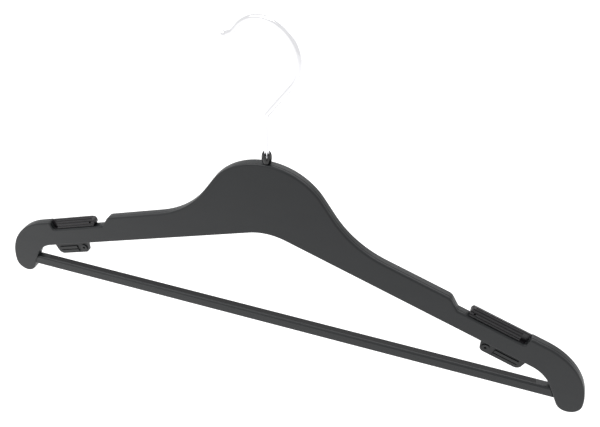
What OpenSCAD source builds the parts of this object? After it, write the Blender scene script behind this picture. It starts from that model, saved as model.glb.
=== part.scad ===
// Clothes hanger with a swivel hook, shoulder grips, skirt-loop hooks and a trouser bar.
// Units are millimetres, +Z is up and +Y points to the back. The origin is the point
// inside the top of the hook that sits on the rail, on the axis that the body turns about.

/* [Body] */
// Overall width, lug to lug
span = 440; // [430:1:460]
// Thickness of the two closed shells
body_t = 7; // [6.6:0.1:9]
// Downward slope of the arms, in degrees
arm_slope = 19; // [17:0.5:21]
// Depth of an arm, square to its slope
arm_h = 20.8; // [19:0.1:24]
// Radius of the rounded corner under the crown
apex_r = 40; // [20:1:60]

/* [Crown] */
// Height of the crown above the point where the lower edges meet
crown_h = 52.6; // [48:0.1:58]
// Radius of the crown
crown_r = 45; // [40:0.5:48]
// Steepest slope of the neck beside the crown, in degrees
neck_slope = 56; // [52:1:60]
// Radius where the neck runs out into the shoulder
neck_r = 70; // [55:1:80]

/* [Strap notches] */
// Distance along the arm to the start of the notch
notch_start = 124.5; // [120:0.5:128]
// Distance along the arm to the end wall of the notch
notch_end = 180.5; // [178:0.5:184]
// Depth of the notch, square to the arm
notch_depth = 6.8; // [6:0.1:8]
// Slope of the way into the notch, against the arm, in degrees
notch_ramp = 41; // [30:1:60]
// Radius of the notch's outer shoulder
notch_shoulder_r = 6; // [3:0.5:8]
// Radius of the notch's other corners
notch_r = 1.6; // [1.3:0.1:2.5]

/* [Lugs] */
// Radius of the lug's outer curve
lug_r = 47; // [42:0.5:47]
// Radius of the lug's toe
toe_r = 8.6; // [7:0.1:9]
// Slope of the lug's inner side, in degrees
toe_slope = 65; // [60:1:70]
// Radius between the arm and the lug's inner side
inner_r = 25; // [18:0.5:28]

/* [Shells] */
// Depth of the front shell, face to parting line
front_depth = 2.4; // [2.2:0.1:2.8]
// Thickness of the front and back skins
skin_t = 1.5; // [1.2:0.1:1.8]
// Thickness of the rim walls
wall_t = 1.7; // [1.4:0.1:2.2]
// Radius of the outer edges
edge_r = 1.2; // [0.6:0.1:1.25]
// Depth of the V groove at the parting line
seam_v = 0.25; // [0.1:0.05:0.4]
// Thickness of the stiffening ribs
rib_t = 1.2; // [0.8:0.1:1.6]
// Spacing of the ribs along an arm
rib_pitch = 17; // [14:0.5:22]
// Diameter of the pegs that join the shells
peg_d = 2.4; // [2:0.1:3]
// Wall of the bosses round the pegs
boss_wall = 1.2; // [0.9:0.1:1.6]

/* [Shoulder grips] */
// Room in the notch between its ramp and the grip
strap_gap = 7.2; // [5:0.1:9]
// Number of ribs down the front of a grip
grip_ribs = 4; // [3:1:4]
// Diameter of a grip's ribs
grip_rib_d = 1.3; // [1:0.05:1.5]
// Radius of a grip's rounded inner end
grip_end_r = 3.4; // [2.5:0.1:4]
// Length of the pocket beside the end of the ribs
grip_pocket = 5; // [3:0.5:8]

/* [Loop hooks] */
// Distance from the middle to the inner side of a loop hook
loop_in_x = 148; // [144:0.5:150]
// Distance from the middle to the outer side of a loop hook
loop_out_x = 179; // [176:0.5:182]
// Depth of a loop hook below the arm
loop_depth = 9.5; // [8:0.1:11]
// Thickness of a loop hook's plate
loop_t = 2.6; // [2:0.1:2.8]
// Diameter of the barrel at its inner end
barrel_d = 5.4; // [4.5:0.1:6]
// Diameter of the dimple in the barrel
dimple_d = 1.8; // [1.2:0.1:2.4]
// Height by which the barrel and the ribs stand proud
proud = 0.7; // [0.4:0.1:0.9]

/* [Trouser bar] */
// Height of the bar
bar_h = 8; // [7:0.1:10]
// Depth of the bar, front to back
bar_w = 6.2; // [5.5:0.1:6.4]
// Distance from the meeting point of the lower edges down to the bar's bottom
bar_drop = 86.5; // [84:0.5:87]
// Radius of the bar's edges
bar_r = 0.9; // [0.5:0.1:1.2]
// Width of the soft strip let into the top of the bar
strip_w = 3.6; // [3:0.1:4]
// Distance from the end of the lug in to the end of the soft strip
strip_inset = 32; // [30:1:40]
// Depth of the soft strip
strip_t = 1.6; // [1:0.1:2]
// Length of the tenon at each end of the bar
tenon_l = 6; // [4:0.5:7]

/* [Hook] */
// Diameter of the hook's wire
wire_d = 3.2; // [3:0.1:3.6]
// Radius of the hook, to the middle of the wire
hook_r = 22.7; // [20:0.1:26]
// Lean of the wire above the knee, in degrees
knee_lean = 37; // [30:1:45]
// Radius of the knee
knee_r = 10; // [8:0.5:14]
// Angle round the hook where the wire leaves the circle
hook_end = 140; // [130:1:150]
// Straight length of wire before the flared tip
tip_run = 4; // [2:0.5:8]
// Radius of the flare
flare_r = 9; // [7:0.5:14]
// Angle of the flare, in degrees
flare_turn = 28; // [15:1:40]
// Straight length of wire into the ball
tip_end = 3.5; // [2.5:0.5:6]
// Diameter of the ball on the tip
ball_d = 4.6; // [4.2:0.1:6]
// Free length of shank between the collet and the knee
shank_free = 22; // [16:0.5:30]
// How far the hook is turned away from the plane of the body at rest, in degrees
hook_turn = -11; // [-30:1:30]
// Diameter of the upset head on the wire's lower end
head_d = 4.6; // [4.2:0.1:4.8]
// Height of the upset head
head_h = 1.5; // [1:0.1:2]

/* [Collet] */
// Height of the collet above the crown
collet_h = 7.8; // [6:0.1:10]
// Widest diameter of the collet
collet_d = 6.6; // [6:0.1:7.5]
// Diameter of the stem held between the shells
stem_d = 4.6; // [4.5:0.1:4.8]
// Length of the stem
stem_l = 9; // [8:0.5:12]
// Depth of the four slits between the prongs
slit_depth = 4.6; // [3:0.1:5]
// Width of the slits
slit_w = 0.7; // [0.5:0.1:1]

/* [Fits] */
// Gap round parts that are trapped or pushed in
fit_gap = 0.1; // [0.05:0.01:0.15]
// Radial clearance between the turning wire and the collet
run_gap = 0.05; // [0.03:0.01:0.09]
// Clearance between the hook's head and the walls of its chamber
head_gap = 0.3; // [0.25:0.05:0.4]

/* [Hidden] */
$fn = 48;
// Overshoot of a cut past the face it opens
over = 0.5;

// Levels across the thickness
front_y = -body_t / 2;
back_y = body_t / 2;
seam_y = front_y + front_depth;

// Directions are normals in degrees, anticlockwise from +X in the plane of the body
top_n = 90 - arm_slope;
neck_n = 90 - neck_slope;
ramp_n = top_n - notch_ramp;
wall_n = top_n + 90;
under_n = top_n - 180;
inner_n = -90 - toe_slope;

// Levels of the hook, measured from the rail seat
hook_centre_z = wire_d / 2 - hook_r;
lean_run = (hook_r * cos(knee_lean) - knee_r * (1 - cos(knee_lean))) / sin(knee_lean);
knee_top_z = hook_centre_z - hook_r * sin(knee_lean) - lean_run * cos(knee_lean);
knee_z = knee_top_z - knee_r * sin(knee_lean);
collet_top_z = knee_z - shank_free;
crown_z = collet_top_z - collet_h;
body_z = crown_z - crown_h;
head_top_z = crown_z - stem_l - head_gap;

// Levels of an arm, square to its slope
floor_v = arm_h - notch_depth;
tongue_v = floor_v + notch_depth / 2;
notch_foot = notch_start + notch_depth / tan(notch_ramp);
grip_start = notch_foot + strap_gap;
grip_end = notch_end - fit_gap;

// The loop hook's plate, against the parting line
plate_front_y = seam_y + fit_gap;
plate_back_y = plate_front_y + loop_t;
plate_r = 4;
plate_out_n = -25;

// The bar's tenons
tenon_w = bar_w * 0.55;
tenon_h = bar_h * 0.6;
tenon_z = bar_h / 2 - bar_drop;

// ---------------------------------------------------------------- outlines

// Unit vector of a normal
function unit(n) = [cos(n), sin(n)];

// Where two lines meet, each given by its normal and its distance from the origin
function meet(n1, c1, n2, c2) = [
    (c1 * sin(n2) - c2 * sin(n1)) / sin(n2 - n1),
    (c2 * cos(n1) - c1 * cos(n2)) / sin(n2 - n1)
];

// Points round a centre, from one normal to another
function arc(centre, r, n1, n2, step = 6) =
    let (count = max(1, ceil(abs(n2 - n1) / step)))
    [for (i = [0 : count]) centre + r * unit(n1 + (n2 - n1) * i / count)];

// A rounded corner between two lines, moved inwards by inset: side is 1 on an outside
// corner and -1 on an inside one
function corner(n1, c1, n2, c2, r, side, inset, step = 6) =
    let (
        radius = side > 0 ? max(r, inset + 0.2) : r,
        centre = meet(n1, c1 - side * radius, n2, c2 - side * radius)
    )
    arc(centre, side * radius - inset, n1, n2, step);

// A point of an arm, from its distance along the arm and its height square to it
function arm_point(u, v) = [
    u * cos(arm_slope) + v * sin(arm_slope),
    v * cos(arm_slope) - u * sin(arm_slope)
];

neck_c = (crown_h - crown_r) * sin(neck_n) + crown_r;
ramp_c = unit(ramp_n) * arm_point(notch_start, arm_h);
lug_centre = meet(top_n, arm_h - lug_r, 0, span / 2 - lug_r);
toe_centre = [span / 2 - toe_r, lug_centre.y - 0.6];
inner_c = unit(inner_n) * toe_centre + toe_r;

// The right half of the body's outline, from the crown's top down to the lower edges
function half_outline(inset) = concat(
    arc([0, crown_h - crown_r], crown_r - inset, 90, neck_n, 6),
    corner(neck_n, neck_c, top_n, arm_h, neck_r, -1, inset, 5),
    corner(top_n, arm_h, ramp_n, ramp_c, notch_shoulder_r, 1, inset, 10),
    corner(ramp_n, ramp_c, top_n, floor_v, notch_r, -1, inset, 14),
    corner(top_n, floor_v, wall_n, -notch_end, notch_r, -1, inset, 18),
    corner(wall_n, -notch_end, top_n, arm_h, notch_r, 1, inset, 18),
    corner(top_n, arm_h, 0, span / 2, lug_r, 1, inset, 5),
    arc(toe_centre, toe_r - inset, 0, inner_n, 12),
    corner(inner_n, inner_c, under_n, 0, inner_r, -1, inset, 8),
    arc([0, -apex_r / cos(arm_slope)], -apex_r - inset, under_n, -90, 5)
);

// The whole outline, mirrored about the middle
function outline(inset = 0) =
    let (right = half_outline(inset), last = len(right) - 1)
    concat(right, [for (i = [last - 1 : -1 : 1]) [-right[i].x, right[i].y]]);

// ---------------------------------------------------------------- helpers

// A flat shape in the plane of the body, given thickness from y0 back to y1
module slab(y0, y1) {
    translate([0, y1, 0])
        rotate([90, 0, 0])
            linear_extrude(y1 - y0)
                children();
}

// A solid through a stack of levels, each a depth and the inset of the outline there
module loft(levels) {
    rings = [for (level = levels) outline(level[1])];
    n = len(rings[0]);
    resize([0, 0, 0]) polyhedron(
        points = [
            for (k = [0 : len(levels) - 1], p = rings[k]) [p.x, levels[k][0], p.y]
        ],
        faces = concat(
            [[for (i = [0 : n - 1]) i]],
            [[for (i = [n - 1 : -1 : 0]) (len(levels) - 1) * n + i]],
            [
                for (k = [0 : len(levels) - 2], i = [0 : n - 1])
                    let (j = (i + 1) % n)
                    [k * n + i, (k + 1) * n + i, (k + 1) * n + j, k * n + j]
            ]
        )
    );
}

// Puts its children on both arms, the left one mirrored
module both_sides() {
    for (side = [0, 1])
        mirror([side, 0, 0])
            children();
}

// Turns its children from arm directions into those of the body: X runs along the arm
module along_arm() {
    rotate([0, arm_slope, 0])
        children();
}

// A box between two corners
module box(low, high) {
    translate(low)
        cube(high - low);
}

// A round bar along Y
module pin_y(p, d, y0, y1) {
    translate([p.x, y1, p.y])
        rotate([90, 0, 0])
            cylinder(d = d, h = y1 - y0);
}

// ---------------------------------------------------------------- shells

// Where the pegs are, on the right side and in the middle
side_pegs = [
    [22, crown_h / 2], arm_point(96, arm_h / 2), arm_point(143, floor_v / 2),
    [toe_centre.x - 9, toe_centre.y + 24]
];
middle_peg = [0, crown_h / 5];
boss_d = peg_d + 2 * boss_wall;
peg_root = 0.6;
peg_tip_y = seam_y + 2;

// Block round the collet's stem and the hook's head
socket_x = stem_d / 2 + 2.4;
chamber_h = head_h + 2 * head_gap;
socket_h = stem_l + chamber_h + wall_t;

module at_pegs() {
    both_sides()
        for (p = side_pegs)
            translate([p.x, 0, p.y])
                children();
    translate([middle_peg.x, 0, middle_peg.y])
        children();
}

// Solid parts inside the shells, between two depths, that the hollow leaves standing
module pillars(y0, y1) {
    at_pegs()
        pin_y([0, 0], boss_d, y0, y1);
    box([-socket_x, y0, crown_h - socket_h], [socket_x, y1, crown_h]);
    both_sides() {
        slab(y0, y1)
            loop_plate(-fit_gap - wall_t);
        box(
            [toe_centre.x - 14, y0, tenon_z - tenon_h / 2 - wall_t],
            [toe_centre.x - tenon_l + 1 + wall_t, y1, tenon_z + tenon_h / 2 + wall_t]
        );
    }
}

// Ribs that stand in the rear shell's hollow
module ribs(y0, y1) {
    both_sides() {
        along_arm()
            for (u = [60 : rib_pitch : notch_foot])
                box([u - rib_t / 2, y0, 0], [u + rib_t / 2, y1, arm_h]);
        for (z = [crown_h * 0.12, crown_h * 0.48])
            box([0, y0, z - rib_t / 2], [crown_r, y1, z + rib_t / 2]);
    }
    box([-rib_t / 2, y0, -apex_r], [rib_t / 2, y1, crown_h]);
}

// The chamber for the hook's lower end, with the collar that grips the collet's groove
module hook_socket() {
    translate([0, 0, crown_h - stem_l])
        cylinder(d = stem_d + 2 * fit_gap, h = groove_low + fit_gap);
    translate([0, 0, crown_h - stem_l])
        cylinder(d = groove_d + 2 * fit_gap, h = stem_l);
    translate([0, 0, crown_h - stem_l + groove_low + groove_h - fit_gap])
        cylinder(d = stem_d + 2 * fit_gap, h = stem_l);
    translate([0, 0, crown_h - stem_l - chamber_h])
        cylinder(d = head_d + 2 * head_gap, h = chamber_h);
}

// Room for the bar's tenons
module tenon_pockets() {
    both_sides()
        box(
            [toe_centre.x - 20, -tenon_w / 2 - fit_gap, tenon_z - tenon_h / 2 - fit_gap],
            [
                toe_centre.x - tenon_l + 1 + fit_gap, tenon_w / 2 + fit_gap,
                tenon_z + tenon_h / 2 + fit_gap
            ]
        );
}

module front_shell() {
    color([0.16, 0.17, 0.18])
        translate([0, 0, body_z]) {
            difference() {
                loft([
                    [front_y, edge_r], [front_y + edge_r * 0.3, edge_r * 0.3],
                    [front_y + edge_r, 0], [seam_y - seam_v, 0], [seam_y, seam_v]
                ]);
                difference() {
                    slab(front_y + skin_t, seam_y + over)
                        polygon(outline(wall_t));
                    pillars(front_y, seam_y + 2 * over);
                }
                hook_socket();
                tenon_pockets();
            }
            at_pegs()
                pin_y([0, 0], peg_d, seam_y - peg_root, peg_tip_y);
        }
}

module rear_shell() {
    color([0.15, 0.16, 0.17])
        translate([0, 0, body_z])
            difference() {
                loft([
                    [seam_y, seam_v], [seam_y + seam_v, 0], [back_y - edge_r, 0],
                    [back_y - edge_r * 0.3, edge_r * 0.3], [back_y, edge_r]
                ]);
                difference() {
                    slab(seam_y - over, back_y - skin_t)
                        polygon(outline(wall_t));
                    pillars(seam_y - 2 * over, back_y);
                    ribs(seam_y, back_y);
                }
                both_sides()
                    slab(seam_y - over, plate_back_y + fit_gap)
                        loop_plate(-fit_gap);
                at_pegs()
                    pin_y([0, 0], peg_d + 2 * run_gap, seam_y - over, peg_tip_y + fit_gap);
                hook_socket();
                tenon_pockets();
            }
}

// ---------------------------------------------------------------- grips

// A grip's section, front to back and up from the notch's floor
grip_back = back_y - 0.3;
grip_crest = 0.8;
grip_front = front_y + 0.9;
grip_r = grip_rib_d / 2;
grip_low = floor_v + grip_r;
grip_reach = grip_crest - grip_front - grip_r;
grip_rise = notch_depth - 2 * grip_r;
grip_corner_r = notch_r + 2 * fit_gap;

// The middle of a rib, on a quarter round from the foot of the front to the crest
function rib_place(k) =
    let (a = 90 * (k + 0.35) / grip_ribs)
    [grip_crest - grip_reach * cos(a), grip_low + grip_rise * sin(a)];

module grip_section() {
    polygon(concat(
        [[grip_back, floor_v], [grip_front + grip_r, floor_v]],
        [
            for (a = [0 : 10 : 90])
                [grip_crest - grip_reach * cos(a), grip_low + grip_rise * sin(a)]
        ],
        [[grip_crest, arm_h], [grip_back - 1, arm_h], [grip_back, arm_h - 1]]
    ));
}

// A right-hand grip, seated on the notch's floor and on the loop hook's tongue
module shoulder_grip() {
    along_arm()
        difference() {
            intersection() {
                union() {
                    translate([grip_start, 0, 0])
                        rotate([90, 0, 90])
                            linear_extrude(grip_end - grip_start)
                                grip_section();
                    for (k = [0 : grip_ribs - 1])
                        translate([grip_start, rib_place(k).x, rib_place(k).y])
                            rotate([0, 90, 0])
                                cylinder(r = grip_r, h = grip_end - grip_start);
                }
                slab(front_y, back_y)
                    polygon(concat(
                        arc(
                            [grip_end - grip_corner_r, floor_v + grip_corner_r],
                            grip_corner_r, 0, -90, 15
                        ),
                        [[grip_start + grip_end_r / 2, floor_v]],
                        arc(
                            [grip_start + grip_end_r, floor_v + grip_end_r],
                            grip_end_r, 250, 90, 10
                        ),
                        [[grip_start + grip_end_r, arm_h], [grip_end, arm_h]]
                    ));
            }
            box(
                [grip_end - grip_pocket, front_y, floor_v + 0.6],
                [grip_end + over, grip_crest - grip_r, arm_h + over]
            );
            box(
                [tongue_start - fit_gap, plate_front_y - fit_gap, floor_v - over],
                [tongue_end + fit_gap, plate_back_y + fit_gap, tongue_v + fit_gap]
            );
            pin_y([grip_start + grip_end_r, floor_v + grip_end_r], dimple_d, front_y, -0.8);
        }
}

module right_shoulder_grip() {
    color([0.11, 0.10, 0.12])
        translate([0, 0, body_z])
            shoulder_grip();
}

module left_shoulder_grip() {
    color([0.11, 0.10, 0.12])
        translate([0, 0, body_z])
            mirror([1, 0, 0])
                shoulder_grip();
}

// ---------------------------------------------------------------- loop hooks

// Height of each of the two ribs along a loop hook
rib_h = (loop_depth - 5) / 2;

// Ends of the tongue that stands up through the arm into the grip
tongue_start = notch_foot + 24;
tongue_end = notch_end - 8;
plate_out_c = unit(plate_out_n) * [loop_out_x, -loop_out_x * tan(arm_slope)];
barrel = [
    loop_in_x + barrel_d / 2 + 1,
    (proud + barrel_d / 2 + 1 - loop_depth - (loop_in_x + barrel_d / 2 + 1) * sin(arm_slope))
        / cos(arm_slope)
];

// Outline of a right-hand plate, moved inwards by inset: the tab below the arm
module loop_tab(inset) {
    polygon(concat(
        corner(top_n, wall_t, plate_out_n, plate_out_c, 0.5, 1, inset, 30),
        corner(plate_out_n, plate_out_c, under_n, loop_depth, plate_r, 1, inset, 10),
        corner(under_n, loop_depth, -180, -loop_in_x, plate_r, 1, inset, 10),
        corner(180, -loop_in_x, top_n, wall_t, 0.5, 1, inset, 30)
    ));
}

module loop_plate(inset) {
    loop_tab(inset);
    rotate(-arm_slope)
        translate([tongue_start + inset, 0])
            square([tongue_end - tongue_start - 2 * inset, tongue_v - inset]);
}

// A right-hand loop hook
module loop_hook() {
    difference() {
        union() {
            slab(plate_front_y, plate_back_y)
                loop_plate(0);
            pin_y(barrel, barrel_d, plate_front_y - proud, plate_back_y);
            along_arm()
                for (v = [-3.1 - rib_h, -3.9 - 2 * rib_h])
                    box(
                        [tongue_start + 12, plate_front_y - proud, v],
                        [notch_end + 5, plate_front_y + over, v + rib_h]
                    );
        }
        pin_y(barrel, dimple_d, front_y, plate_front_y + loop_t / 2);
    }
}

module right_loop_hook() {
    color([0.17, 0.18, 0.19])
        translate([0, 0, body_z])
            loop_hook();
}

module left_loop_hook() {
    color([0.17, 0.18, 0.19])
        translate([0, 0, body_z])
            mirror([1, 0, 0])
                loop_hook();
}

// ---------------------------------------------------------------- trouser bar

// The bar's middle, from which its strip's channel is measured
strip_back = bar_w / 2 - 0.6;
strip_front = strip_back - strip_w;
strip_l = span - 2 * strip_inset;

// A straight length along X of a flat section drawn front to back and up
module along_x(length) {
    translate([-length / 2, 0, 0])
        rotate([90, 0, 90])
            linear_extrude(length)
                children();
}

module bar_section() {
    polygon(concat(
        arc([bar_w / 2 - bar_r, bar_h / 2 - bar_r], bar_r, 90, 0, 15),
        arc([bar_w / 2 - bar_r, bar_r - bar_h / 2], bar_r, 0, -90, 15),
        arc([bar_r - bar_w / 2, bar_r - bar_h / 2], bar_r, -90, -180, 15),
        [[-bar_w / 2, bar_h / 2 - 1.1], [0.7 - bar_w / 2, bar_h / 2 - 0.3]],
        [[1.1 - bar_w / 2, bar_h / 2]]
    ));
}

// Takes away what would run into the lugs
module clear_of_lugs() {
    difference() {
        children();
        slab(front_y - over, back_y + over)
            polygon(outline(-fit_gap));
    }
}

module trouser_bar() {
    color([0.20, 0.21, 0.22])
        translate([0, 0, body_z]) {
            difference() {
                clear_of_lugs()
                    translate([0, 0, bar_h / 2 - bar_drop])
                        along_x(2 * toe_centre.x - 6)
                            bar_section();
                translate([0, 0, bar_h - bar_drop - strip_t])
                    along_x(strip_l + 2 * fit_gap)
                        translate([strip_front, 0])
                            square([strip_w, strip_t + over]);
            }
            both_sides()
                box(
                    [toe_centre.x - 22, -tenon_w / 2, tenon_z - tenon_h / 2],
                    [toe_centre.x - tenon_l + 1, tenon_w / 2, tenon_z + tenon_h / 2]
                );
        }
}

module bar_grip_strip() {
    color([0.09, 0.09, 0.10])
        translate([0, 0, body_z + bar_h - bar_drop - strip_t])
            along_x(strip_l)
                translate([strip_front + fit_gap, 0])
                    square([strip_w - 2 * fit_gap, strip_t]);
}

// ---------------------------------------------------------------- hook

groove_d = stem_d - 0.7;
groove_low = 3;
groove_h = 1.6;

// The collet: a waisted, split sleeve whose grooved stem is trapped between the shells
module hook_collet() {
    color([0.05, 0.05, 0.06])
        difference() {
            rotate_extrude()
                polygon([
                    [wire_d / 2 + run_gap, crown_z - stem_l],
                    [stem_d / 2, crown_z - stem_l],
                    [stem_d / 2, crown_z - stem_l + groove_low],
                    [groove_d / 2, crown_z - stem_l + groove_low],
                    [groove_d / 2, crown_z - stem_l + groove_low + groove_h],
                    [stem_d / 2, crown_z - stem_l + groove_low + groove_h],
                    [stem_d / 2, crown_z],
                    [collet_d * 0.40, crown_z],
                    [collet_d * 0.45, crown_z + collet_h * 0.12],
                    [collet_d * 0.50, crown_z + collet_h * 0.42],
                    [collet_d * 0.50, crown_z + collet_h * 0.60],
                    [collet_d * 0.45, crown_z + collet_h * 0.82],
                    [collet_d * 0.38, collet_top_z],
                    [wire_d / 2 + run_gap, collet_top_z]
                ]);
            for (turn = [22, 112])
                rotate([0, 0, turn])
                    translate([0, 0, collet_top_z]) {
                        slab(-collet_d, collet_d)
                            polygon([
                                [-collet_d * 0.27, over], [collet_d * 0.27, over],
                                [0, -slit_depth * 0.7]
                            ]);
                        box([-slit_w / 2, -collet_d, -slit_depth], [slit_w / 2, collet_d, over]);
                    }
        }
}

// A joint between two stretches of wire, a trace fuller than the wire so that they close
module wire_joint(p) {
    translate([p.x, 0, p.y])
        sphere(d = wire_d + 0.03);
}

// A stretch of wire on a circle in the plane of the hook, between two angles
module wire_arc(centre, r, a0, a1) {
    translate([centre.x, 0, centre.y])
        rotate([90, 0, 0])
            rotate([0, 0, a0])
                rotate_extrude(angle = a1 - a0)
                    translate([r, 0])
                        circle(d = wire_d);
}

// A straight stretch of wire in the plane of the hook, from p in a direction
module wire_run(p, direction, length) {
    translate([p.x, 0, p.y])
        rotate([0, 90 - direction, 0])
            cylinder(d = wire_d, h = length);
}

// The tip's stations: out of the circle, along the run, round the flare and into the ball
hook_centre = [0, hook_centre_z];
tip_start = hook_centre + hook_r * unit(hook_end);
flare_start = tip_start + tip_run * unit(hook_end + 90);
flare_centre = flare_start + flare_r * unit(hook_end);
flare_end = flare_centre + flare_r * unit(hook_end + 180 - flare_turn);
tip_heading = hook_end + 90 - flare_turn;
ball_centre = flare_end + tip_end * unit(tip_heading);
knee_end = [knee_r * (1 - cos(knee_lean)), knee_top_z];
circle_start = hook_centre + hook_r * unit(-knee_lean);

module hook_wire() {
    color([0.82, 0.83, 0.85])
        rotate([0, 0, hook_turn]) {
            translate([0, 0, head_top_z - head_h])
                cylinder(d = head_d, h = head_h);
            wire_run([0, head_top_z], 90, knee_z - head_top_z);
            wire_arc([knee_r, knee_z], knee_r, 180 - knee_lean, 180);
            wire_run(knee_end, 90 - knee_lean, lean_run);
            wire_arc(hook_centre, hook_r, -knee_lean, hook_end);
            wire_run(tip_start, hook_end + 90, tip_run);
            wire_arc(
                flare_centre, flare_r, hook_end + 180 - flare_turn, hook_end + 180
            );
            wire_run(flare_end, tip_heading, tip_end);
            for (p = [[0, knee_z], knee_end, circle_start, tip_start, flare_start, flare_end])
                wire_joint(p);
        }
}

module hook_tip_ball() {
    color([0.80, 0.81, 0.83])
        rotate([0, 0, hook_turn])
            difference() {
                translate([ball_centre.x, 0, ball_centre.y])
                    sphere(d = ball_d);
                wire_run(flare_end, tip_heading, tip_end);
            }
}

// ---------------------------------------------------------------- assembly

front_shell();
rear_shell();
left_shoulder_grip();
right_shoulder_grip();
left_loop_hook();
right_loop_hook();
trouser_bar();
bar_grip_strip();
hook_collet();
hook_wire();
hook_tip_ball();
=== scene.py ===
"""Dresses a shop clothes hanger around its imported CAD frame.

The frame's origin is the point of the hook that sits on the rail, +Z is up and +Y points to
the back. Every piece is built in metres in that frame and rides on a body of the frame.
"""

import logging
import math
from dataclasses import dataclass, field
from enum import Enum
from typing import Any, Dict, Iterable, List, Optional, Sequence, Tuple

import bmesh
import bpy
from mathutils import Matrix, Vector

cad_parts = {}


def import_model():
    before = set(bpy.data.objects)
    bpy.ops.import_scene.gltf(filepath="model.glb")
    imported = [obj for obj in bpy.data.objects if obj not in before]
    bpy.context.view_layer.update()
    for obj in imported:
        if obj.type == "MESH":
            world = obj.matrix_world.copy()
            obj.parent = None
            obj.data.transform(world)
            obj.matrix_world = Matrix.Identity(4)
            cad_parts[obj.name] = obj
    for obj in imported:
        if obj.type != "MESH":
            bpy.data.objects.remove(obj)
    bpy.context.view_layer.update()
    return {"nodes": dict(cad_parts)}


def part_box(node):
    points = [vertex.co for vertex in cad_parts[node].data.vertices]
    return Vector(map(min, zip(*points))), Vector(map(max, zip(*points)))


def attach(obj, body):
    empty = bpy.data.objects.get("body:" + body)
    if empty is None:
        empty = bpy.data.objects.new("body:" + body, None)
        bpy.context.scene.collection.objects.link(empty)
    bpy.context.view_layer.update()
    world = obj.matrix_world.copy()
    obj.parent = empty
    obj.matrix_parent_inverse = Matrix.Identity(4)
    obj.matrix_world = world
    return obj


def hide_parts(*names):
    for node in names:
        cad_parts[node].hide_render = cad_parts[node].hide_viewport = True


LOG = logging.getLogger("hanger")

MM = 0.001
LEAST_RADIUS_MM = 0.2  # radius that an outside corner keeps after it is moved inwards
COLLET_STEM_MM = 9.0  # length of the collet's stem, from its lower end up to the crown

Point2 = Tuple[float, float]
Colour = Tuple[float, float, float]


class Body(Enum):
    """The bodies of the frame that pieces ride on."""

    HOOK = "hook"
    HANGER = "hanger"


class Slot(Enum):
    """The material slots of the record."""

    SHELL = "shell"
    GRIP = "grip"
    LOOP = "loop"
    BAR = "bar"
    STRIP = "strip"
    COLLET = "collet"
    WIRE = "wire"


# --------------------------------------------------------------------------- plane geometry


def unit(angle: float) -> Point2:
    """Unit vector of a direction.

    Args:
        angle: direction in degrees, anticlockwise from +X.

    Returns:
        The vector.
    """
    return (math.cos(math.radians(angle)), math.sin(math.radians(angle)))


def along(start: Point2, direction: Point2, distance: float) -> Point2:
    """A point at a distance from another.

    Args:
        start: where to start.
        direction: unit vector to go along.
        distance: how far to go.

    Returns:
        The point.
    """
    return (start[0] + direction[0] * distance, start[1] + direction[1] * distance)


def dot(a: Point2, b: Point2) -> float:
    """Dot product of two plane vectors."""
    return a[0] * b[0] + a[1] * b[1]


def meet(n1: float, c1: float, n2: float, c2: float) -> Point2:
    """Where two lines meet.

    Args:
        n1: normal of the first line, in degrees.
        c1: its distance from the origin.
        n2: normal of the second line, in degrees.
        c2: its distance from the origin.

    Returns:
        The meeting point.
    """
    (cos1, sin1), (cos2, sin2) = unit(n1), unit(n2)
    turn = math.sin(math.radians(n2 - n1))
    return ((c1 * sin2 - c2 * sin1) / turn, (c2 * cos1 - c1 * cos2) / turn)


def arc(centre: Point2, radius: float, start: float, end: float, step: float) -> List[Point2]:
    """Points round a centre.

    Args:
        centre: middle of the arc.
        radius: its radius, negative to draw the far side.
        start: first direction, in degrees.
        end: last direction, in degrees.
        step: largest step between points, in degrees.

    Returns:
        The points, both ends included.
    """
    count = max(1, math.ceil(abs(end - start) / step - 1e-9))
    turns = (start + (end - start) * i / count for i in range(count + 1))
    return [along(centre, unit(turn), radius) for turn in turns]


def corner(
    n1: float,
    c1: float,
    n2: float,
    c2: float,
    radius: float,
    side: int,
    inset: float,
    step: float,
) -> List[Point2]:
    """A rounded corner between two lines, moved inwards.

    Args:
        n1: normal of the first line, in degrees.
        c1: its distance from the origin.
        n2: normal of the second line, in degrees.
        c2: its distance from the origin.
        radius: radius of the corner.
        side: 1 on an outside corner and -1 on an inside one.
        inset: how far the outline is moved inwards.
        step: largest step between points, in degrees.

    Returns:
        The points of the corner.
    """
    reach = max(radius, inset + LEAST_RADIUS_MM) if side > 0 else radius
    centre = meet(n1, c1 - side * reach, n2, c2 - side * reach)
    return arc(centre, side * reach - inset, n1, n2, step)


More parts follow.
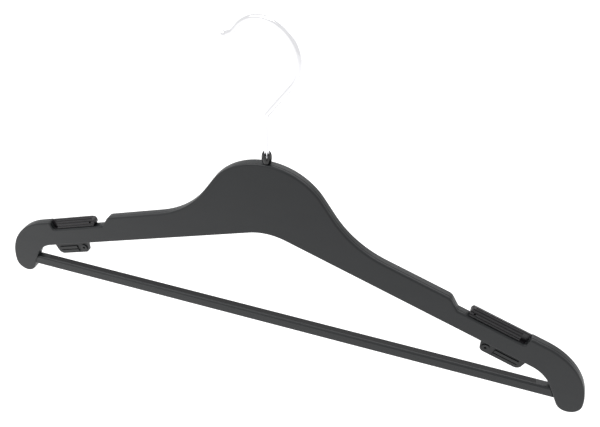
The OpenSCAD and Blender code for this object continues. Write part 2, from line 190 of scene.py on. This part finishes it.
@dataclass(frozen=True)
class BodyOutline:
    """Outline of the body in its own plane, in millimetres, from where the lower edges meet."""

    span: float = 440.0
    arm_slope: float = 19.0
    arm_h: float = 20.8
    apex_r: float = 40.0
    crown_h: float = 52.6
    crown_r: float = 45.0
    neck_slope: float = 56.0
    neck_r: float = 70.0
    notch_start: float = 124.5
    notch_end: float = 180.5
    notch_depth: float = 6.8
    notch_ramp: float = 41.0
    notch_shoulder_r: float = 6.0
    notch_r: float = 1.6
    lug_r: float = 47.0
    toe_r: float = 8.6
    toe_drop: float = 0.6
    toe_slope: float = 65.0
    inner_r: float = 25.0
    fine: float = 1.5
    coarse: float = 6.0
    toe_step: float = 4.0
    inner_step: float = 2.0

    def arm_point(self, u: float, v: float) -> Point2:
        """A point of an arm.

        Args:
            u: distance along the arm.
            v: height square to the arm.

        Returns:
            The point in the plane of the body.
        """
        c, s = unit(self.arm_slope)
        return (u * c + v * s, v * c - u * s)

    @property
    def floor_v(self) -> float:
        """Height of the notch's floor above the arm's lower edge."""
        return self.arm_h - self.notch_depth

    @property
    def toe_centre(self) -> Point2:
        """Centre of the lug's toe."""
        top_n = 90 - self.arm_slope
        lug = meet(top_n, self.arm_h - self.lug_r, 0, self.span / 2 - self.lug_r)
        return (self.span / 2 - self.toe_r, lug[1] - self.toe_drop)

    def half(self, inset: float) -> List[Point2]:
        """The right half, from the crown's top down to the lower edges.

        Args:
            inset: how far the outline is moved inwards.

        Returns:
            The points, in order.
        """
        top_n, neck_n = 90 - self.arm_slope, 90 - self.neck_slope
        ramp_n, wall_n, under_n = top_n - self.notch_ramp, top_n + 90, top_n - 180
        inner_n = -90 - self.toe_slope
        neck_c = (self.crown_h - self.crown_r) * unit(neck_n)[1] + self.crown_r
        ramp_c = dot(unit(ramp_n), self.arm_point(self.notch_start, self.arm_h))
        inner_c = dot(unit(inner_n), self.toe_centre) + self.toe_r
        half_span, end_c = self.span / 2, -self.notch_end
        apex = (0.0, -self.apex_r / unit(self.arm_slope)[0])
        f, k = self.fine, self.coarse
        return [
            *arc((0.0, self.crown_h - self.crown_r), self.crown_r - inset, 90, neck_n, f),
            *corner(neck_n, neck_c, top_n, self.arm_h, self.neck_r, -1, inset, f),
            *corner(top_n, self.arm_h, ramp_n, ramp_c, self.notch_shoulder_r, 1, inset, k),
            *corner(ramp_n, ramp_c, top_n, self.floor_v, self.notch_r, -1, inset, k),
            *corner(top_n, self.floor_v, wall_n, end_c, self.notch_r, -1, inset, k),
            *corner(wall_n, end_c, top_n, self.arm_h, self.notch_r, 1, inset, k),
            *corner(top_n, self.arm_h, 0, half_span, self.lug_r, 1, inset, f),
            *arc(self.toe_centre, self.toe_r - inset, 0, inner_n, self.toe_step),
            *corner(inner_n, inner_c, under_n, 0, self.inner_r, -1, inset, self.inner_step),
            *arc(apex, -self.apex_r - inset, under_n, -90, f),
        ]

    def whole(self, inset: float) -> List[Point2]:
        """Both halves, mirrored about the middle.

        Args:
            inset: how far the outline is moved inwards.

        Returns:
            The closed outline's points, clockwise from the top.
        """
        right = self.half(inset)
        return right + [(-x, z) for x, z in right[-2:0:-1]]


@dataclass(frozen=True)
class Levels:
    """Depths of the shells and height of the outline's origin, in millimetres."""

    front_y: float
    seam_y: float
    back_y: float
    body_z: float

    @classmethod
    def of_frame(cls, outline: BodyOutline) -> "Levels":
        """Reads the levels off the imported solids.

        Args:
            outline: the body's outline, whose crown carries the collet.

        Returns:
            The levels.
        """
        front_low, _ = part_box("front_shell")
        rear_low, rear_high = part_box("rear_shell")
        collet_low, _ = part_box("hook_collet")
        crown_z = collet_low[2] / MM + COLLET_STEM_MM
        return cls(
            front_y=front_low[1] / MM,
            seam_y=rear_low[1] / MM,
            back_y=rear_high[1] / MM,
            body_z=crown_z - outline.crown_h,
        )


# --------------------------------------------------------------------------- finishes


def mixed_colour(
    tree: bpy.types.NodeTree, colour: Colour, darkest: float, lightest: float
) -> bpy.types.Node:
    """Adds a mix between a darker and a lighter shade of a colour.

    Args:
        tree: the material's node tree.
        colour: the colour.
        darkest: factor of the first shade.
        lightest: factor of the second shade.

    Returns:
        The mix node, whose Factor is free.
    """
    mix = tree.nodes.new("ShaderNodeMix")
    mix.data_type = "RGBA"
    mix.inputs["A"].default_value = (*[c * darkest for c in colour], 1)
    mix.inputs["B"].default_value = (*[c * lightest for c in colour], 1)
    return mix


@dataclass(frozen=True)
class Plastic:
    """A moulded plastic: a near-black colour with fine texture in its gloss and surface."""

    name: str
    colour: Colour
    roughness: float
    specular: float = 0.5
    mottle: float = 0.12
    cloud_mm: float = 18.0
    grain_mm: float = 0.35
    flow_mm: float = 6.0
    flow_squeeze: float = 0.12
    glossier: float = 0.04
    duller: float = 0.05
    bump: float = 0.05
    relief_mm: float = 0.05
    ior: float = 1.5

    def build(self) -> bpy.types.Material:
        """Makes the material's nodes.

        Returns:
            The material.
        """
        material = bpy.data.materials.new(self.name)
        material.use_nodes = True
        tree = material.node_tree
        nodes, links = tree.nodes, tree.links
        shader = nodes["Principled BSDF"]
        shader.inputs["IOR"].default_value = self.ior
        shader.inputs["Specular IOR Level"].default_value = self.specular
        place = nodes.new("ShaderNodeTexCoord")
        cloud = self.noise(tree, place, self.cloud_mm, 3.0, 1.0)
        grain = self.noise(tree, place, self.grain_mm, 2.0, 1.0)
        flow = self.noise(tree, place, self.flow_mm, 2.0, self.flow_squeeze)
        tint = mixed_colour(tree, self.colour, 1 - self.mottle, 1 + self.mottle)
        links.new(cloud.outputs["Fac"], tint.inputs["Factor"])
        links.new(tint.outputs["Result"], shader.inputs["Base Color"])
        gloss = nodes.new("ShaderNodeMapRange")
        gloss.inputs["To Min"].default_value = self.roughness - self.glossier
        gloss.inputs["To Max"].default_value = self.roughness + self.duller
        links.new(flow.outputs["Fac"], gloss.inputs["Value"])
        links.new(gloss.outputs["Result"], shader.inputs["Roughness"])
        relief = nodes.new("ShaderNodeBump")
        relief.inputs["Strength"].default_value = self.bump
        relief.inputs["Distance"].default_value = self.relief_mm * MM
        links.new(grain.outputs["Fac"], relief.inputs["Height"])
        links.new(relief.outputs["Normal"], shader.inputs["Normal"])
        return material

    def noise(
        self,
        tree: bpy.types.NodeTree,
        place: bpy.types.Node,
        grain_mm: float,
        detail: float,
        squeeze: float,
    ) -> bpy.types.Node:
        """Adds a noise on Object coordinates.

        Args:
            tree: the material's node tree.
            place: its Texture Coordinate node.
            grain_mm: size of the noise's grain.
            detail: how many finer layers it has.
            squeeze: scale of the coordinates along X, below 1 for long streaks.

        Returns:
            The noise node.
        """
        mapping = tree.nodes.new("ShaderNodeMapping")
        mapping.inputs["Scale"].default_value = (squeeze, 1.0, 1.0)
        tree.links.new(place.outputs["Object"], mapping.inputs["Vector"])
        noise = tree.nodes.new("ShaderNodeTexNoise")
        noise.inputs["Scale"].default_value = 1 / (grain_mm * MM)
        noise.inputs["Detail"].default_value = detail
        tree.links.new(mapping.outputs["Vector"], noise.inputs["Vector"])
        return noise


@dataclass(frozen=True)
class PlatedWire:
    """Bright plating on drawn wire, faintly cloudy in colour and gloss."""

    name: str = "bright_plating"
    colour: Colour = (0.80, 0.80, 0.82)
    dimming: float = 0.94
    cloud_mm: float = 3.0
    cloud_detail: float = 4.0
    roughness: float = 0.10
    glossier: float = 0.03
    duller: float = 0.05

    def build(self) -> bpy.types.Material:
        """Makes the material's nodes.

        Returns:
            The material.
        """
        material = bpy.data.materials.new(self.name)
        material.use_nodes = True
        tree = material.node_tree
        nodes, links = tree.nodes, tree.links
        shader = nodes["Principled BSDF"]
        shader.inputs["Metallic"].default_value = 1.0
        place = nodes.new("ShaderNodeTexCoord")
        cloud = nodes.new("ShaderNodeTexNoise")
        cloud.inputs["Scale"].default_value = 1 / (self.cloud_mm * MM)
        cloud.inputs["Detail"].default_value = self.cloud_detail
        links.new(place.outputs["Object"], cloud.inputs["Vector"])
        tint = mixed_colour(tree, self.colour, self.dimming, 1.0)
        links.new(cloud.outputs["Fac"], tint.inputs["Factor"])
        links.new(tint.outputs["Result"], shader.inputs["Base Color"])
        gloss = nodes.new("ShaderNodeMapRange")
        gloss.inputs["To Min"].default_value = self.roughness - self.glossier
        gloss.inputs["To Max"].default_value = self.roughness + self.duller
        links.new(cloud.outputs["Fac"], gloss.inputs["Value"])
        links.new(gloss.outputs["Result"], shader.inputs["Roughness"])
        return material


@dataclass
class Finishes:
    """All the finishes of the hanger, built once and looked up by slot."""

    made: Dict[Slot, bpy.types.Material] = field(default_factory=dict)

    def build(self) -> None:
        """Builds each slot's material."""
        plastics = {
            Slot.SHELL: Plastic("satin_shell", (0.012, 0.0135, 0.015), 0.42, 0.35),
            Slot.GRIP: Plastic("soft_grip", (0.008, 0.007, 0.009), 0.36, 0.45),
            Slot.LOOP: Plastic("satin_loop_hook", (0.010, 0.011, 0.012), 0.4, 0.35),
            Slot.BAR: Plastic("satin_bar", (0.013, 0.0145, 0.016), 0.42, 0.35),
            Slot.STRIP: Plastic("soft_strip", (0.006, 0.006, 0.007), 0.55, 0.3),
            Slot.COLLET: Plastic("gloss_collet", (0.004, 0.004, 0.005), 0.16, bump=0.01),
        }
        self.made = {slot: finish.build() for slot, finish in plastics.items()}
        self.made[Slot.WIRE] = PlatedWire().build()

    def dress(self, piece: bpy.types.Object, slot: Slot) -> None:
        """Gives a piece its one material.

        Args:
            piece: the mesh object.
            slot: the record's slot that it takes its finish from.
        """
        piece.data.materials.clear()
        piece.data.materials.append(self.made[slot])


# --------------------------------------------------------------------------- mesh helpers


def finish_mesh(name: str, work: bmesh.types.BMesh, sharp: float) -> bpy.types.Object:
    """Turns a bmesh into a smooth-shaded object at the origin.

    Args:
        name: the piece's name.
        work: the mesh, in metres; it is freed.
        sharp: edges bent by more than this many degrees stay sharp.

    Returns:
        The object, linked to the scene.
    """
    bmesh.ops.recalc_face_normals(work, faces=work.faces)
    mesh = bpy.data.meshes.new(name)
    work.to_mesh(mesh)
    work.free()
    mesh.shade_smooth()
    mesh.set_sharp_from_angle(angle=math.radians(sharp))
    piece = bpy.data.objects.new(name, mesh)
    bpy.context.scene.collection.objects.link(piece)
    return piece


def register(
    piece: bpy.types.Object, body: Body, slot: Slot, finishes: Finishes, nodes: Sequence[str]
) -> None:
    """Dresses a finished piece, sets it on its body and hides what it stands for.

    Args:
        piece: the piece.
        body: the body it rides on.
        slot: the record's slot it takes its finish from.
        finishes: the built finishes.
        nodes: the CAD nodes it replaces.
    """
    finishes.dress(piece, slot)
    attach(piece, body.value)
    if nodes:
        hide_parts(*nodes)
    LOG.info("%s: %d faces, rides on %s", piece.name, len(piece.data.polygons), body.value)


# --------------------------------------------------------------------------- sub-assemblies


@dataclass
class Shells:
    """The two closed shells of the body."""

    levels: Levels
    outline: BodyOutline
    edge_r: float = 1.2
    seam_v: float = 0.25
    rounding: int = 6
    support: float = 0.1
    sharp: float = 32.0

    def loft(self, name: str, levels: Sequence[Tuple[float, float]]) -> bpy.types.Object:
        """A closed solid through a stack of insets of the outline.

        Args:
            name: the piece's name.
            levels: depth and inset of each ring, front to back, in millimetres.

        Returns:
            The object.
        """
        work = bmesh.new()
        rings = [
            [
                work.verts.new((x * MM, depth * MM, (z + self.levels.body_z) * MM))
                for x, z in self.outline.whole(inset)
            ]
            for depth, inset in levels
        ]
        for low, high in zip(rings, rings[1:]):
            for i in range(len(low)):
                j = (i + 1) % len(low)
                work.faces.new((low[i], high[i], high[j], low[j]))
        work.faces.new(rings[0])
        work.faces.new(list(reversed(rings[-1])))
        return finish_mesh(name, work, self.sharp)

    def round_edge(self, face_y: float, towards: int) -> List[Tuple[float, float]]:
        """Rings of the rounded edge, from the face outwards.

        Args:
            face_y: depth of the face.
            towards: 1 when the body lies behind the face, -1 when in front of it.

        Returns:
            Depth and inset of each ring, with a support ring on the face first.
        """
        r = self.edge_r
        rings = [(face_y, r + self.support)]
        for i in range(self.rounding + 1):
            a = math.radians(90 * i / self.rounding)
            rings.append((face_y + towards * r * (1 - math.cos(a)), r * (1 - math.sin(a))))
        return rings

    def build(self, finishes: Finishes) -> None:
        """Builds both shells.

        Args:
            finishes: the built finishes.
        """
        lv = self.levels
        front = self.round_edge(lv.front_y, 1)
        front += [(lv.seam_y - self.seam_v, 0.0), (lv.seam_y, self.seam_v)]
        rear = [(lv.seam_y, self.seam_v), (lv.seam_y + self.seam_v, 0.0)]
        rear += list(reversed(self.round_edge(lv.back_y, -1)))
        for name, rings, node in (
            ("front_shell_body", front, "front_shell"),
            ("rear_shell_body", rear, "rear_shell"),
        ):
            piece = self.loft(name, rings)
            register(piece, Body.HANGER, Slot.SHELL, finishes, [node])


@dataclass
class CarriedNodes:
    """CAD nodes whose shape is kept, each given its finish."""

    nodes: Dict[str, bpy.types.Object]
    slots: Dict[str, Slot] = field(
        default_factory=lambda: {
            "left_shoulder_grip": Slot.GRIP,
            "right_shoulder_grip": Slot.GRIP,
            "left_loop_hook": Slot.LOOP,
            "right_loop_hook": Slot.LOOP,
            "trouser_bar": Slot.BAR,
            "bar_grip_strip": Slot.STRIP,
            "hook_collet": Slot.COLLET,
            "hook_wire": Slot.WIRE,
            "hook_tip_ball": Slot.WIRE,
        }
    )

    def build(self, finishes: Finishes) -> None:
        """Dresses each node.

        Args:
            finishes: the built finishes.
        """
        for name, slot in self.slots.items():
            finishes.dress(self.nodes[name], slot)
            LOG.info("%s: kept, dressed as %s", name, slot.value)


# --------------------------------------------------------------------------- studio


@dataclass(frozen=True)
class Camera:
    """The camera: where it stands, where it looks, and its lens."""

    position: Tuple[float, float, float] = (0.1398, -0.3456, 0.1532)
    azimuth: float = 18.83
    elevation: float = 37.38
    roll: float = 0.52
    lens_mm: float = 43.10
    sensor_mm: float = 36.0
    nearest: float = 0.01

    def build(self) -> None:
        """Makes the camera and sets it as the scene's."""
        az, el, roll = (math.radians(v) for v in (self.azimuth, self.elevation, self.roll))
        back = Vector((math.sin(az) * math.cos(el), -math.cos(az) * math.cos(el), math.sin(el)))
        level = Vector((math.cos(az), math.sin(az), 0))
        upright = back.cross(level)
        right = level * math.cos(roll) + upright * math.sin(roll)
        up = back.cross(right)
        data = bpy.data.cameras.new("view")
        data.sensor_width = self.sensor_mm
        data.lens = self.lens_mm
        data.clip_start = self.nearest
        camera = bpy.data.objects.new("view", data)
        turn = Matrix((right, up, back)).transposed().to_4x4()
        camera.matrix_world = Matrix.Translation(self.position) @ turn
        bpy.context.scene.collection.objects.link(camera)
        bpy.context.scene.camera = camera


@dataclass(frozen=True)
class Lamp:
    """A soft rectangular lamp."""

    name: str
    position: Tuple[float, float, float]
    target: Tuple[float, float, float]
    size: Tuple[float, float]
    power: float

    def build(self) -> None:
        """Makes the lamp and aims it."""
        data = bpy.data.lights.new(self.name, "AREA")
        data.shape = "RECTANGLE"
        data.size, data.size_y = self.size
        data.energy = self.power
        lamp = bpy.data.objects.new(self.name, data)
        aim = Vector(self.target) - Vector(self.position)
        turn = aim.to_track_quat("-Z", "Y").to_matrix().to_4x4()
        lamp.matrix_world = Matrix.Translation(self.position) @ turn
        bpy.context.scene.collection.objects.link(lamp)


@dataclass
class Studio:
    """The pale floor, the white surroundings and the lamps."""

    floor_z: float = -0.75
    floor_size: float = 30.0
    floor_squares: int = 8
    floor_grey: float = 0.86
    floor_roughness: float = 0.8
    floor_lift: float = 0.6
    world_light: float = 0.55
    lamps: List[Lamp] = field(
        default_factory=lambda: [
            Lamp("key_lamp", (-0.9, -0.5, 1.2), (0, 0, -0.15), (1.2, 1.2), 16),
            Lamp("back_lamp", (0.3, 1.3, 0.9), (0, 0, -0.15), (1.6, 1.0), 10),
        ]
    )

    def build(self) -> None:
        """Builds the floor, the world and the lamps."""
        self.build_world()
        self.build_floor()
        for lamp in self.lamps:
            lamp.build()
        bpy.context.scene.view_settings.view_transform = "Standard"

    def build_world(self) -> None:
        """White where the camera and reflections see it, a plain level of light elsewhere."""
        world = bpy.data.worlds.new("surroundings")
        world.use_nodes = True
        bpy.context.scene.world = world
        nodes, links = world.node_tree.nodes, world.node_tree.links
        nodes.clear()
        path = nodes.new("ShaderNodeLightPath")
        seen = self.any_of(world.node_tree, path, ("Is Camera Ray", "Is Glossy Ray"))
        strength = nodes.new("ShaderNodeMapRange")
        strength.inputs["To Min"].default_value = self.world_light
        strength.inputs["To Max"].default_value = 1.0
        background = nodes.new("ShaderNodeBackground")
        output = nodes.new("ShaderNodeOutputWorld")
        links.new(seen, strength.inputs["Value"])
        links.new(strength.outputs["Result"], background.inputs["Strength"])
        background.inputs["Color"].default_value = (1, 1, 1, 1)
        links.new(background.outputs["Background"], output.inputs["Surface"])

    def any_of(
        self, tree: bpy.types.NodeTree, path: bpy.types.Node, rays: Iterable[str]
    ) -> bpy.types.NodeSocket:
        """Whether a ray is one of some kinds.

        Args:
            tree: the node tree.
            path: its Light Path node.
            rays: names of the Light Path outputs.

        Returns:
            A socket that is 1 when it is.
        """
        socket: Optional[bpy.types.NodeSocket] = None
        for ray in rays:
            if socket is None:
                socket = path.outputs[ray]
                continue
            larger = tree.nodes.new("ShaderNodeMath")
            larger.operation = "MAXIMUM"
            tree.links.new(socket, larger.inputs[0])
            tree.links.new(path.outputs[ray], larger.inputs[1])
            socket = larger.outputs[0]
        return socket

    def build_floor(self) -> None:
        """A wide pale floor that is white to the camera and still takes the shadow."""
        work = bmesh.new()
        squares = self.floor_squares
        bmesh.ops.create_grid(
            work, x_segments=squares, y_segments=squares, size=self.floor_size / 2
        )
        bmesh.ops.translate(work, verts=work.verts, vec=(0, 0, self.floor_z))
        mesh = bpy.data.meshes.new("pale_floor")
        work.to_mesh(mesh)
        work.free()
        floor = bpy.data.objects.new("pale_floor", mesh)
        bpy.context.scene.collection.objects.link(floor)
        material = bpy.data.materials.new("pale_floor")
        material.use_nodes = True
        tree = material.node_tree
        nodes, links = tree.nodes, tree.links
        shader = nodes["Principled BSDF"]
        shader.inputs["Base Color"].default_value = (*[self.floor_grey] * 3, 1)
        shader.inputs["Roughness"].default_value = self.floor_roughness
        path = nodes.new("ShaderNodeLightPath")
        seen = self.any_of(tree, path, ("Is Camera Ray", "Is Glossy Ray", "Is Transmission Ray"))
        lift = nodes.new("ShaderNodeMapRange")
        lift.inputs["To Min"].default_value = 0.0
        lift.inputs["To Max"].default_value = self.floor_lift
        links.new(seen, lift.inputs["Value"])
        shader.inputs["Emission Color"].default_value = (1, 1, 1, 1)
        links.new(lift.outputs["Result"], shader.inputs["Emission Strength"])
        mesh.materials.append(material)


def main() -> None:
    """Builds the dressed hanger and its studio."""
    logging.basicConfig(level=logging.INFO, format="%(name)s: %(message)s")
    frame: Dict[str, Any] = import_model()
    outline, finishes = BodyOutline(), Finishes()
    levels = Levels.of_frame(outline)
    finishes.build()
    CarriedNodes(frame["nodes"]).build(finishes)
    Shells(levels, outline).build(finishes)
    Camera().build()
    Studio().build()


if __name__ == "__main__":
    main()
